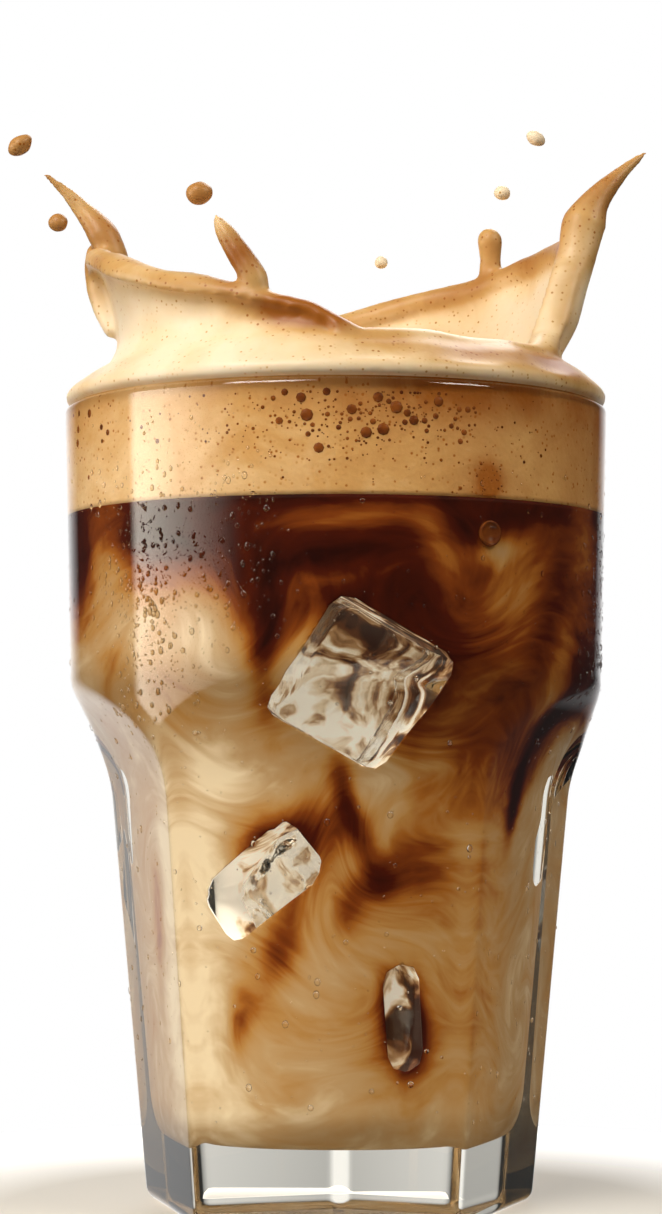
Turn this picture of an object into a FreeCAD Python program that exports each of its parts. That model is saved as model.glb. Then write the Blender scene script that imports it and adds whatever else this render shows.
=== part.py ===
"""Iced latte in a five-sided tumbler: milk, coffee and a foam head that rises in a splash crown.

Millimetres, +Z up, origin at the centre of the glass's underside, front towards -Y.
The glass is pressed: a round band at the rim, flat facets below it that flare out into the
band through an arc, a thick floor and a round cavity. The drink fills the cavity in three
layers that meet face to face: milk, coffee and foam. The foam swells over the rim and rises
in a crown of uneven height with four horns.
"""

import FreeCAD, Part
import Sketcher
import math
import os

from FreeCAD import Rotation, Vector

DIMENSIONS = [
    # the glass
    ("glass_height", 130.0, "underside to rim"),
    ("rim_radius", 44.4, "outside of the rim"),
    ("band_taper", 1.6, "rim's outside less the band's at its lower end"),
    ("wall", 2.6, "thickness of the band's wall"),
    ("facet_wall", 3.0, "thickness of the wall at a facet's middle"),
    ("floor_thickness", 12.5, "solid glass under the drink"),
    ("facet_count", 5, "flat sides of the lower part"),
    ("facet_turn", -3.0, "turn of the front facet about Z, in degrees"),
    ("facet_foot", 27.4, "axis to a facet's middle, at the underside"),
    ("facet_spread", 5.4, "how much further out it is where its flare starts"),
    ("facet_height", 66.0, "underside to the start of the flare"),
    ("flare_radius", 25.0, "arc by which a facet runs out into the band"),
    ("shoulder_round", 8.0, "arc inside, between the flare and the band"),
    ("corner_round", 7.0, "arc inside, between the floor and the wall"),
    ("edge_round", 2.4, "rounding of the edges between facets"),
    ("foot_round", 2.0, "rounding of the underside's edges"),
    ("lip_round", 1.1, "rounding of the rim, inside and outside"),
    # the drink
    ("foam_depth", 17.6, "rim to the foam's underside"),
    ("coffee_depth", 29.0, "foam's underside to the middle of the milk's surface"),
    ("milk_tilt", 12.0, "rise of the milk's surface from the axis to its left"),
    ("milk_wave", 3.0, "height of the swirl's waves in the milk's surface"),
    # the foam above the rim
    ("swell_rise", 2.4, "rim to the widest ring of the foam"),
    ("swell_over", 0.2, "reach of the foam past the rim's outside"),
    ("head_rise", 6.8, "rim to the pool inside the crown"),
    ("head_edge", 0.8, "rise of the pool from its middle to its edge"),
    ("crown_inset", 8.4, "rim's outside to the crown's where it leaves the foam"),
    ("crown_foot", 10.5, "rim to where the crown leaves the foam"),
    ("crown_wall", 2.2, "thickness of the crown's sheet"),
    ("crown_bead", 3.6, "thickness of the rolled edge along its top"),
    ("crown_lean", 0.22, "outward lean per height"),
    ("root_inset", 3.2, "rim's outside to the outer edge of the crown's root, in the foam"),
    ("root_reach", 11.0, "crown's outside to the inner edge of its root, in the foam"),
    ("root_rise", 1.0, "rim to the edges of the crown's root"),
    ("root_curve", 1.2, "hollow of the curve from the root up to the sheet"),
    ("rise_right", 29.0, "rim to the crown's top, at 0 degrees"),
    ("rise_back_right", 30.0, "the same at 45 degrees"),
    ("rise_back", 21.5, "at 90 degrees"),
    ("rise_back_left", 20.0, "at 135 degrees"),
    ("rise_left", 27.0, "at 180 degrees"),
    ("rise_front_left", 18.5, "at 225 degrees"),
    ("rise_front", 10.5, "at 270 degrees"),
    ("rise_front_right", 7.8, "at 315 degrees"),
    # the horns: place round the crown, reach outward, reach upward, root radius
    ("left_horn_turn", 183.0, "degrees"),
    ("left_horn_out", 10.4, ""),
    ("left_horn_up", 14.8, ""),
    ("left_horn_root", 4.2, ""),
    ("small_left_horn_turn", 238.0, "degrees"),
    ("small_left_horn_out", 2.0, ""),
    ("small_left_horn_up", 11.5, ""),
    ("small_left_horn_root", 3.2, ""),
    ("small_right_horn_turn", 48.0, "degrees"),
    ("small_right_horn_out", 1.0, ""),
    ("small_right_horn_up", 9.0, ""),
    ("small_right_horn_root", 2.8, ""),
    ("right_horn_turn", 3.0, "degrees"),
    ("right_horn_out", 12.0, ""),
    ("right_horn_up", 15.4, ""),
    ("right_horn_root", 4.6, ""),
]
HORNS = ("left_horn", "small_left_horn", "small_right_horn", "right_horn")
RISES = (
    "rise_right",
    "rise_back_right",
    "rise_back",
    "rise_back_left",
    "rise_left",
    "rise_front_left",
    "rise_front",
    "rise_front_right",
)
HORN_TAPER = (0.2, 0.8, 0.95, 0.78, 0.64, 0.6, 0.5, 0.32, 0.12)  # root to tip, of the root
CROWN_SECTIONS = 32  # radial sections that the crown's sheet runs through
WAVE_GRID = 13  # points along each side of the milk's surface
NODES = ("glass", "milk", "coffee", "foam")

doc = FreeCAD.newDocument("iced_latte")
dims = doc.addObject("Spreadsheet::Sheet", "dims")
for row, (alias, value, note) in enumerate(DIMENSIONS, start=1):
    dims.set(f"A{row}", alias)
    dims.set(f"B{row}", str(value))
    dims.set(f"C{row}", note)
    dims.setAlias(f"B{row}", alias)
doc.recompute()


def size(alias):
    """The value of one cell of the sheet."""
    return float(getattr(dims, alias))


def origin_feature(body, role):
    """One of a body's own origin planes or axes."""
    return next(f for f in body.Origin.OriginFeatures if f.Role == role)


def upright_sketch(body, name):
    """An empty sketch on a body's XZ plane: its x runs outward and its y up."""
    sketch = body.newObject("Sketcher::SketchObject", name)
    sketch.AttachmentSupport = [(origin_feature(body, "XZ_Plane"), "")]
    sketch.MapMode = "FlatFace"
    return sketch


def line(sketch, start, end, construction=False):
    """Adds a straight line and returns its number in the sketch."""
    return sketch.addGeometry(
        Part.LineSegment(Vector(*start, 0), Vector(*end, 0)), construction
    )


def arc(sketch, centre, radius, low, high):
    """Adds an arc from one angle to another, in radians, and returns its number."""
    circle = Part.Circle(Vector(*centre, 0), Vector(0, 0, 1), radius)
    return sketch.addGeometry(Part.ArcOfCircle(circle, low, high), False)


def bind(sketch, kind, where, value, expression):
    """Adds a dimension whose value is an expression over the sheet."""
    number = sketch.addConstraint(Sketcher.Constraint(kind, *where, value))
    sketch.setExpression(f"Constraints[{number}]", expression)


def place(sketch, geometry, end, x, y):
    """Ties one end of a line to a place: x and y are (value, expression) or None for the axis."""
    for kind, item in (("DistanceX", x), ("DistanceY", y)):
        if item is None:
            axis = -2 if kind == "DistanceX" else -1
            sketch.addConstraint(Sketcher.Constraint("PointOnObject", geometry, end, axis))
        else:
            bind(sketch, kind, (-1, 1, geometry, end), *item)


def join(sketch, pairs):
    """Makes the listed (line, end, line, end) ends meet."""
    for pair in pairs:
        sketch.addConstraint(Sketcher.Constraint("Coincident", *pair))


def smooth(sketch, pairs):
    """Makes the listed (curve, end, curve, end) ends meet and run on into each other."""
    for pair in pairs:
        sketch.addConstraint(Sketcher.Constraint("Tangent", *pair))


def band_radius():
    """Outside of the round band at its lower end."""
    return size("rim_radius") - size("band_taper")


def crown_radius():
    """Outside of the crown where it leaves the foam."""
    return size("rim_radius") - size("crown_inset")


def facet_top():
    """Axis to a facet's middle, where its flare starts."""
    return size("facet_foot") + size("facet_spread")


def facet_slope():
    """The angle by which a facet leans outward from the vertical, in radians."""
    return math.atan2(size("facet_spread"), size("facet_height"))


def blank_profile(body):
    """The outline of the round blank: a cylinder up to the flare, then the band's slight taper."""
    band, rim = band_radius(), size("rim_radius")
    bend, top = size("facet_height"), size("glass_height")
    sketch = upright_sketch(body, "blank_profile")
    foot = line(sketch, (0, 0), (band, 0))
    side = line(sketch, (band, 0), (band, bend))
    taper = line(sketch, (band, bend), (rim, top))
    lid = line(sketch, (rim, top), (0, top))
    axis = line(sketch, (0, top), (0, 0))
    join(
        sketch,
        [
            (foot, 2, side, 1),
            (side, 2, taper, 1),
            (taper, 2, lid, 1),
            (lid, 2, axis, 1),
            (axis, 2, foot, 1),
        ],
    )
    place(sketch, foot, 1, None, None)
    sketch.addConstraint(Sketcher.Constraint("Horizontal", foot))
    sketch.addConstraint(Sketcher.Constraint("Vertical", side))
    sketch.addConstraint(Sketcher.Constraint("Vertical", axis))
    place(sketch, side, 2, (band, "dims.rim_radius - dims.band_taper"), (bend, "dims.facet_height"))
    place(sketch, taper, 2, (rim, "dims.rim_radius"), (top, "dims.glass_height"))
    sketch.addConstraint(Sketcher.Constraint("Horizontal", lid))
    return sketch


def facet_profile(body):
    """What one facet takes off, seen along it: outside its line, its flare and the rim's radius."""
    foot, head, bend = size("facet_foot"), facet_top(), size("facet_height")
    radius, slope = size("flare_radius"), facet_slope()
    clear = size("rim_radius") + 1
    centre = (head + radius * math.cos(slope), bend - radius * math.sin(slope))
    reach = math.acos((clear - centre[0]) / radius)
    end = (clear, centre[1] + radius * math.sin(reach))
    sketch = upright_sketch(body, "facet_profile")
    flat = line(sketch, (foot, 0), (head, bend))
    flare = arc(sketch, centre, radius, reach, math.pi - slope)
    outside = line(sketch, end, (clear, 0))
    under = line(sketch, (clear, 0), (foot, 0))
    smooth(sketch, [(flat, 2, flare, 2)])
    join(sketch, [(flare, 1, outside, 1), (outside, 2, under, 1), (under, 2, flat, 1)])
    bind(sketch, "DistanceX", (-1, 1, flat, 1), foot, "dims.facet_foot")
    sketch.addConstraint(Sketcher.Constraint("PointOnObject", flat, 1, -1))
    place(sketch, flat, 2, (head, "dims.facet_foot + dims.facet_spread"), (bend, "dims.facet_height"))
    bind(sketch, "Radius", (flare,), radius, "dims.flare_radius")
    sketch.addConstraint(Sketcher.Constraint("Vertical", outside))
    sketch.addConstraint(Sketcher.Constraint("Horizontal", under))
    bind(sketch, "DistanceX", (-1, 1, outside, 2), clear, "dims.rim_radius + 1")
    return sketch


def cavity_profile(body):
    """The outline of the cavity: floor, corner, wall inside the facets, flare, shoulder, band."""
    slope = facet_slope()
    taper = math.atan2(size("band_taper"), size("glass_height") - size("facet_height"))
    bend, top, floor = size("facet_height"), size("glass_height"), size("floor_thickness")
    low, high = facet_top() - size("facet_wall"), size("rim_radius") - size("wall")
    corner, shoulder = size("corner_round"), size("shoulder_round")
    flare = size("flare_radius") + size("facet_wall")
    # the flare's centre, and the angle at which it meets the shoulder's arc
    centre = (low + flare * math.cos(slope), bend - flare * math.sin(slope))
    band = high - math.tan(taper) * (top - bend - flare)
    turn = math.acos(min(1.0, (centre[0] + shoulder - band) / (flare + shoulder)))
    meet = (centre[0] - flare * math.cos(turn), centre[1] + flare * math.sin(turn))
    inner = (meet[0] - shoulder * math.cos(turn), meet[1] + shoulder * math.sin(turn))
    wall_start = (inner[0] + shoulder * math.cos(taper), inner[1] - shoulder * math.sin(taper))
    corner_x = low - math.tan(slope) * (bend - floor) - corner
    sketch = upright_sketch(body, "cavity_profile")
    base = line(sketch, (0, floor), (corner_x, floor))
    round_in = arc(sketch, (corner_x, floor + corner), corner, -math.pi / 2, -slope)
    wall = line(sketch, (corner_x + corner, floor + corner), (low, bend))
    swing = arc(sketch, centre, flare, math.pi - turn, math.pi - slope)
    back = arc(sketch, inner, shoulder, -turn, -taper)
    upper = line(sketch, wall_start, (high, top))
    lid = line(sketch, (high, top), (0, top))
    axis = line(sketch, (0, top), (0, floor))
    facet = line(sketch, (size("facet_foot"), 0), (facet_top(), bend), True)
    side = line(sketch, (band_radius(), bend), (size("rim_radius"), top), True)
    smooth(
        sketch,
        [
            (base, 2, round_in, 1),
            (round_in, 2, wall, 1),
            (wall, 2, swing, 2),
            (swing, 1, back, 1),
            (back, 2, upper, 1),
        ],
    )
    join(sketch, [(upper, 2, lid, 1), (lid, 2, axis, 1), (axis, 2, base, 1)])
    place(sketch, axis, 2, None, (floor, "dims.floor_thickness"))
    sketch.addConstraint(Sketcher.Constraint("Vertical", axis))
    sketch.addConstraint(Sketcher.Constraint("Horizontal", base))
    sketch.addConstraint(Sketcher.Constraint("Horizontal", lid))
    place(sketch, facet, 1, (size("facet_foot"), "dims.facet_foot"), None)
    place(sketch, facet, 2, (facet_top(), "dims.facet_foot + dims.facet_spread"), (bend, "dims.facet_height"))
    place(
        sketch,
        side,
        1,
        (band_radius(), "dims.rim_radius - dims.band_taper"),
        (bend, "dims.facet_height"),
    )
    place(sketch, side, 2, (size("rim_radius"), "dims.rim_radius"), (top, "dims.glass_height"))
    sketch.addConstraint(Sketcher.Constraint("Parallel", wall, facet))
    sketch.addConstraint(Sketcher.Constraint("Parallel", upper, side))
    place(
        sketch,
        wall,
        2,
        (low, "dims.facet_foot + dims.facet_spread - dims.facet_wall"),
        (bend, "dims.facet_height"),
    )
    place(
        sketch,
        upper,
        2,
        (high, "dims.rim_radius - dims.wall"),
        (top, "dims.glass_height"),
    )
    bind(sketch, "Radius", (round_in,), corner, "dims.corner_round")
    bind(sketch, "Radius", (swing,), flare, "dims.flare_radius + dims.facet_wall")
    bind(sketch, "Radius", (back,), shoulder, "dims.shoulder_round")
    return sketch


def round_edges(body, base, name, edges, alias):
    """Rounds the given edges of a body's last feature."""
    fillet = body.newObject("PartDesign::Fillet", name)
    fillet.Base = (base, edges)
    fillet.setExpression("Radius", f"dims.{alias}")
    doc.recompute()
    return fillet


def edges_where(shape, test):
    """The names of the edges of a shape that a test picks."""
    return [f"Edge{n}" for n, edge in enumerate(shape.Edges, start=1) if test(edge)]


def make_glass():
    """The tumbler: a revolved blank, facets cut round it, a grooved cavity and rounded edges."""
    body = doc.addObject("PartDesign::Body", "glass")
    blank = body.newObject("PartDesign::Revolution", "blank")
    blank.Profile = blank_profile(body)
    blank.ReferenceAxis = (blank.Profile[0], ["V_Axis"])
    blank.Angle = 360
    doc.recompute()
    facet = body.newObject("PartDesign::Pocket", "facet")
    facet.Profile = facet_profile(body)
    facet.Midplane = True
    facet.setExpression("Length", "4 * dims.rim_radius")
    doc.recompute()
    facets = body.newObject("PartDesign::PolarPattern", "facets")
    facets.Originals = [facet]
    facets.Axis = (origin_feature(body, "Z_Axis"), [""])
    facets.Angle = 360
    facets.setExpression("Occurrences", "dims.facet_count")
    body.Tip = facets
    doc.recompute()

    corner_edges = edges_where(facets.Shape, is_corner)
    corners = round_edges(body, facets, "corners", corner_edges, "edge_round")
    foot_edges = edges_where(corners.Shape, lambda edge: edge.BoundBox.ZMax < 1e-6)
    feet = round_edges(body, corners, "feet", foot_edges, "foot_round")

    cavity = body.newObject("PartDesign::Groove", "cavity")
    cavity.Profile = cavity_profile(body)
    cavity.ReferenceAxis = (cavity.Profile[0], ["V_Axis"])
    cavity.Angle = 360
    doc.recompute()
    top = size("glass_height")
    rim_edges = edges_where(cavity.Shape, lambda edge: edge.BoundBox.ZMin > top - 1e-6)
    lip = round_edges(body, cavity, "lip", rim_edges, "lip_round")
    body.Tip = lip
    body.Placement.Rotation = Rotation(Vector(0, 0, 1), size("facet_turn") - 90)
    doc.recompute()
    return body


def is_corner(edge):
    """True for an edge between two facets: it climbs from the underside."""
    return edge.BoundBox.ZMin < 1e-6 and edge.BoundBox.ZLength > 1


def make_hollow():
    """The cavity as a solid, by the glass's own outline, for the drink to be cut from."""
    body = doc.addObject("PartDesign::Body", "hollow")
    solid = body.newObject("PartDesign::Revolution", "hollow_solid")
    solid.Profile = cavity_profile(body)
    solid.ReferenceAxis = (solid.Profile[0], ["V_Axis"])
    solid.Angle = 360
    doc.recompute()
    return body


def shaped(name, shape):
    """A Part::Feature that holds a shape made with Part's own functions."""
    feature = doc.addObject("Part::Feature", name)
    feature.Shape = shape
    return feature


def milk_zone():
    """Everything below the milk's surface: a sheet that tilts and ripples round the axis."""
    reach = size("rim_radius")
    level = size("glass_height") - size("foam_depth") - size("coffee_depth")

    def height(x, y):
        far = math.hypot(x, y) / reach
        swirl = math.cos(2 * math.atan2(y, x) + 2.5 * far) * far**2
        return level - size("milk_tilt") * x / reach + size("milk_wave") * swirl

    steps = [reach * (2 * n / (WAVE_GRID - 1) - 1) for n in range(WAVE_GRID)]
    sheet = Part.BSplineSurface()
    sheet.interpolate([[Vector(x, y, height(x, y)) for y in steps] for x in steps])
    return shaped("milk_zone", sheet.toShape().extrude(Vector(0, 0, -size("glass_height"))))


def slab(name, low, high):
    """A wide round disc between two heights, given as expressions."""
    disc = doc.addObject("Part::Cylinder", name)
    disc.setExpression("Radius", "dims.rim_radius")
    disc.setExpression("Placement.Base.z", low)
    disc.setExpression("Height", f"({high}) - ({low})")
    return disc


def boolean(kind, name, base, tool):
    """A Part::Cut or Part::Common of two objects."""
    made = doc.addObject(kind, name)
    made.Base = base
    made.Tool = tool
    return made


def rise_at(turn):
    """The crown's height above the rim at an angle in degrees, eased between its eight heights."""
    share = (turn % 360) / 360 * len(RISES)
    before = int(share)
    ease = (1 - math.cos(math.pi * (share - before))) / 2
    low, high = RISES[before % len(RISES)], RISES[(before + 1) % len(RISES)]
    return size(low) + (size(high) - size(low)) * ease


def crown_spine(turn, share):
    """(distance from the axis, height) on the middle of the crown's sheet, from foot 0 to top 1."""
    top = rise_at(turn) - size("crown_bead") / 2
    foot = min(size("crown_foot"), top - size("crown_wall") / 2)
    middle = crown_radius() - size("crown_wall") / 2
    climb = (top - foot) * share
    out = middle + size("crown_lean") * climb * (1 + share) / 2
    return out, size("glass_height") + foot + climb


def around(turn, out, up):
    """The point at an angle in degrees, a distance from the axis and a height."""
    angle = math.radians(turn)
    return Vector(out * math.cos(angle), out * math.sin(angle), up)


def crown_section(turn):
    """Points of the crown's closed outline at one angle: root in the foam, sheet, rolled top."""
    half, bead, curve = size("crown_wall") / 2, size("crown_bead") / 2, size("root_curve")
    root_up = size("glass_height") + size("root_rise")
    root_out = size("rim_radius") - size("root_inset")
    root_in = crown_radius() - size("root_reach")
    foot, waist, top = (crown_spine(turn, share) for share in (0.0, 0.5, 1.0))
    points = [
        (root_out, root_up),
        ((root_out + foot[0]) / 2 + half, (root_up + foot[1]) / 2 - curve),
        (foot[0] + half, foot[1]),
        (waist[0] + half, waist[1]),
        (top[0] + bead, top[1]),
        (top[0], top[1] + bead),
        (top[0] - bead, top[1]),
        (waist[0] - half, waist[1]),
        (foot[0] - half, foot[1]),
        ((root_in + foot[0]) / 2 - half, (root_up + foot[1]) / 2 - curve),
        (root_in, root_up),
        ((root_in + root_out) / 2, root_up - curve),
    ]
    return [around(turn, *point) for point in points]


def closed_curve(points):
    """A smooth closed curve that passes the points at even steps."""
    curve = Part.BSplineCurve()
    steps = [float(n) for n in range(len(points) + 1)]
    curve.interpolate(Points=points, PeriodicFlag=True, Parameters=steps)
    return curve


def make_crown():
    """The splash's sheet: one closed surface that runs through its radial sections."""
    turns = [360 * n / CROWN_SECTIONS for n in range(CROWN_SECTIONS)]
    sections = [closed_curve(crown_section(turn)) for turn in turns]
    rings = [closed_curve(list(poles)) for poles in zip(*(curve.getPoles() for curve in sections))]
    surface = Part.BSplineSurface()
    surface.buildFromPolesMultsKnots(
        [ring.getPoles() for ring in rings],
        sections[0].getMultiplicities(),
        rings[0].getMultiplicities(),
        sections[0].getKnots(),
        rings[0].getKnots(),
        True,
        True,
        3,
        3,
    )
    return shaped("crown", Part.Solid(Part.Shell([surface.toShape()])))


def make_horn(name):
    """One horn: a round loft that leaves the crown's top, leans out and thins to its tip."""
    turn, out, up, root = (size(f"{name}_{part}") for part in ("turn", "out", "up", "root"))
    start, sunk = crown_spine(turn, 1.0), 1.6 * size("crown_bead")
    rings = []
    for n, thickness in enumerate(HORN_TAPER):
        share = n / (len(HORN_TAPER) - 1)
        middle = around(turn, start[0] + out * share**1.4, start[1] - sunk + (up + sunk) * share)
        lean = math.atan2(1.4 * out * share**0.4, up + sunk)
        normal = around(turn, math.sin(lean), math.cos(lean))
        rings.append(Part.Wire([Part.makeCircle(root * thickness, middle, normal)]))
    return shaped(name, Part.makeLoft(rings, True))


def head_profile(body):
    """The outline of the foam under the crown: in the band, over the rim, and the pool on top."""
    low = size("glass_height") - size("foam_depth")
    rim = size("glass_height")
    middle = size("rim_radius") - size("wall") / 2
    widest = size("rim_radius") + size("swell_over")
    swell, pool = rim + size("swell_rise"), rim + size("head_rise")
    crest = (crown_radius() - size("crown_wall") / 2, pool + size("head_edge"))
    sketch = upright_sketch(body, "head_profile")
    under = line(sketch, (0, low), (middle, low))
    side = line(sketch, (middle, low), (middle, rim))
    lap = line(sketch, (middle, rim), (widest, swell))
    slope = line(sketch, (widest, swell), crest)
    top = line(sketch, crest, (0, pool))
    axis = line(sketch, (0, pool), (0, low))
    join(
        sketch,
        [
            (under, 2, side, 1),
            (side, 2, lap, 1),
            (lap, 2, slope, 1),
            (slope, 2, top, 1),
            (top, 2, axis, 1),
            (axis, 2, under, 1),
        ],
    )
    sketch.addConstraint(Sketcher.Constraint("Horizontal", under))
    sketch.addConstraint(Sketcher.Constraint("Vertical", side))
    place(sketch, under, 1, None, (low, "dims.glass_height - dims.foam_depth"))
    place(
        sketch,
        side,
        2,
        (middle, "dims.rim_radius - dims.wall / 2"),
        (rim, "dims.glass_height"),
    )
    place(
        sketch,
        lap,
        2,
        (widest, "dims.rim_radius + dims.swell_over"),
        (swell, "dims.glass_height + dims.swell_rise"),
    )
    place(
        sketch,
        slope,
        2,
        (crest[0], "dims.rim_radius - dims.crown_inset - dims.crown_wall / 2"),
        (crest[1], "dims.glass_height + dims.head_rise + dims.head_edge"),
    )
    place(sketch, top, 2, None, (pool, "dims.glass_height + dims.head_rise"))
    return sketch


def make_head():
    """The foam without its crown, as a revolved body."""
    body = doc.addObject("PartDesign::Body", "head")
    solid = body.newObject("PartDesign::Revolution", "head_solid")
    solid.Profile = head_profile(body)
    solid.ReferenceAxis = (solid.Profile[0], ["V_Axis"])
    solid.Angle = 360
    doc.recompute()
    edges = edges_where(
        solid.Shape,
        lambda edge: edge.BoundBox.ZLength < 1e-6
        and abs(edge.BoundBox.ZMin - size("glass_height") - size("swell_rise")) < 1e-6,
    )
    swell = round_edges(body, solid, "swell", edges, "swell_rise")
    body.Tip = swell
    doc.recompute()
    return body


def make_foam(glass):
    """The foam as one solid: head, crown and horns joined, less the glass it is poured into."""
    joined = doc.addObject("Part::MultiFuse", "foam_and_crown")
    joined.Shapes = [make_head(), make_crown()] + [make_horn(name) for name in HORNS]
    return boolean("Part::Cut", "foam", joined, glass)


def check(objects):
    """Stops if any object failed to build, or if a sub-part isn't one valid closed solid."""
    for item in doc.Objects:
        if {"Invalid", "Error"} & set(item.State):
            raise RuntimeError(f"{item.Label} failed: {item.State}")
    for item in objects:
        shape = item.Shape
        if shape.isNull() or not shape.isValid() or len(shape.Solids) != 1:
            raise RuntimeError(f"{item.Label}: {len(shape.Solids)} solids, valid {shape.isValid()}")


glass = make_glass()
hollow = make_hollow()
zone = milk_zone()
foam_level = "dims.glass_height - dims.foam_depth"
below_foam = slab("below_foam", "0", foam_level)
drink = boolean("Part::Common", "drink", hollow, below_foam)
milk = boolean("Part::Common", "milk", drink, zone)
coffee = boolean("Part::Cut", "coffee", drink, zone)
foam = make_foam(glass)
doc.recompute()

parts = [doc.getObject(name) for name in NODES]
for part in parts:
    part.Label = part.Name
check(parts)
os.makedirs("parts", exist_ok=True)
for part in parts:
    part.Shape.exportStep(f"parts/{part.Label}.step")
    print(part.Label, round(part.Shape.Volume / 1000, 1), "cm3", part.Shape.BoundBox)
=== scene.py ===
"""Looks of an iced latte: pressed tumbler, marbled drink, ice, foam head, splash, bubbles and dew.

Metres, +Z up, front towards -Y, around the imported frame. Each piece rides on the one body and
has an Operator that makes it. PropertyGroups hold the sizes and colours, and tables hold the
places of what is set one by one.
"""

import math
import random

import bmesh
import bpy
import numpy as np
from bpy.props import FloatProperty, FloatVectorProperty, IntProperty
from mathutils import Matrix, Vector, noise


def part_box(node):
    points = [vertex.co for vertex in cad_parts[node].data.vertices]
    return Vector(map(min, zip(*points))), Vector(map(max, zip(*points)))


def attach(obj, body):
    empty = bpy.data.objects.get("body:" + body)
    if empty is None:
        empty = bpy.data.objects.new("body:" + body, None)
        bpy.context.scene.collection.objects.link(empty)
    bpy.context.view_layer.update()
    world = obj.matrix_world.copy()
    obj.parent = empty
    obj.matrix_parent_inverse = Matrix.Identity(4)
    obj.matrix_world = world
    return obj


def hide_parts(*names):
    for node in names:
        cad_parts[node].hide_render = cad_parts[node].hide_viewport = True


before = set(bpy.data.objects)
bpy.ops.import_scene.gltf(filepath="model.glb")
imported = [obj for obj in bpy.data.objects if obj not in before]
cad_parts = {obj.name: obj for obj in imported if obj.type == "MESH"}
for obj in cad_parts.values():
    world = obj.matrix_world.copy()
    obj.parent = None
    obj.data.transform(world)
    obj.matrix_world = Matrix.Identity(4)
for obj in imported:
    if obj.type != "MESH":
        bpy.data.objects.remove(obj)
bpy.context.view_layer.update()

bl_info = {
    "name": "Iced Latte",
    "version": (1, 0, 0),
    "blender": (4, 5, 0),
    "location": "3D Viewport > Sidebar > Latte",
    "description": "Builds an iced latte in a pressed tumbler around its CAD frame",
    "category": "Object",
}

MM = 0.001
BODY = "root"
NOISE_SEED = 7  # without one, noise_vector differs from run to run
GLASS_LOW, GLASS_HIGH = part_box("glass")
FOAM_LOW, FOAM_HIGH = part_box("foam")
RIM = GLASS_HIGH.z
RIM_RADIUS = (GLASS_HIGH.x - GLASS_LOW.x) / 2
FOAM_LINE = FOAM_LOW.z
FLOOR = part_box("milk")[0].z


# ---------------------------------------------------------------- properties


def length(name, millimetres, description):
    """A length property, given in millimetres."""
    return FloatProperty(
        name=name, description=description, default=millimetres * MM, unit="LENGTH", precision=5
    )


def linear(code):
    """Linear RGBA of an sRGB hex value."""
    values = [int(code[n : n + 2], 16) / 255 for n in (1, 3, 5)]
    return (*(v / 12.92 if v <= 0.04045 else ((v + 0.055) / 1.055) ** 2.4 for v in values), 1.0)


def colour(name, code, description):
    """A colour property, given as an sRGB hex value."""
    return FloatVectorProperty(
        name=name,
        description=description,
        default=linear(code),
        size=4,
        min=0,
        max=1,
        subtype="COLOR",
    )


class TumblerSettings(bpy.types.PropertyGroup):
    """Sizes and colour of the pressed glass."""

    facets: IntProperty(name="Facets", description="Flat sides of the lower part", default=5)
    facet_turn: FloatProperty(
        name="Facet turn",
        description="Turn of the front facet about the axis",
        default=math.radians(-3),
        subtype="ANGLE",
    )
    band_taper: length("Band taper", 1.6, "Rim's outside less the band's at its lower end")
    wall: length("Wall", 2.6, "Thickness of the band's wall")
    facet_wall: length("Facet wall", 3.0, "Thickness of the wall at a facet's middle")
    facet_foot: length("Facet foot", 27.4, "Axis to a facet's middle, at the underside")
    facet_spread: length("Facet spread", 5.4, "How much further out it is where its flare starts")
    facet_height: length("Facet height", 66, "Underside to the start of the flare")
    flare_radius: length("Flare radius", 25, "Arc by which a facet runs out into the band")
    shoulder_round: length("Shoulder round", 8, "Arc inside, between the flare and the band")
    corner_round: length("Corner round", 7, "Arc inside, between the floor and the wall")
    edge_blend: length("Edge blend", 2.3, "Width over which two facets run into each other")
    foot_round: length("Foot round", 2.2, "Rounding of the underside's edges")
    lip_round: length("Lip round", 1.1, "Rounding of the rim")
    tint: colour("Tint", "#f5f2e8", "Colour that the glass gives to what is seen through it")


class DrinkSettings(bpy.types.PropertyGroup):
    """Sizes and colours of the marbled coffee and milk."""

    reach: length("Reach", 0.15, "How far the drink reaches into the wall, so that no gap shows")
    swirls: IntProperty(name="Swirls", description="Chance swirls round the drink", default=46)
    coffee: colour("Coffee", "#240500", "Cold coffee at its darkest")
    crema: colour("Crema", "#a06324", "Amber where coffee thins into milk")
    milk: colour("Milk", "#be9e72", "Milk clouded with coffee")
    cream: colour("Cream", "#e6d5b6", "Milk that is hardly mixed")


class IceSettings(bpy.types.PropertyGroup):
    """Sizes of the ice."""

    edge: length("Edge", 18.5, "Edge of a whole cube")
    melt_round: length("Melt round", 2.2, "Rounding of a cube's edges by melting")
    clearance: length("Clearance", 0.5, "Room between a cube and the drink round it")


class FoamSettings(bpy.types.PropertyGroup):
    """Sizes and colours of the foam head and its splash."""

    bead: length("Bead", 5.6, "Thickness of the rolled edge along the splash's top")
    sheet: length("Sheet", 1.8, "Thickness of the splash's sheet")
    voxel: length("Voxel", 0.6, "Grain at which the splash's parts are blended")
    pale: colour("Pale", "#f3e1c4", "Fresh foam")
    tan: colour("Tan", "#cb9f63", "Foam stained with coffee")
    amber: colour("Amber", "#9c5c1c", "Coffee drained through the foam under the rim")
    bubble: colour("Bubble", "#5a2a0c", "Inside of an open bubble")


class DewSettings(bpy.types.PropertyGroup):
    """Sizes of the water drops on the glass."""

    drops: IntProperty(name="Drops", description="Number of drops", default=2600)
    smallest: length("Smallest", 0.12, "Radius of the smallest drops")
    largest: length("Largest", 0.52, "Radius of the largest drops")


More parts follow.
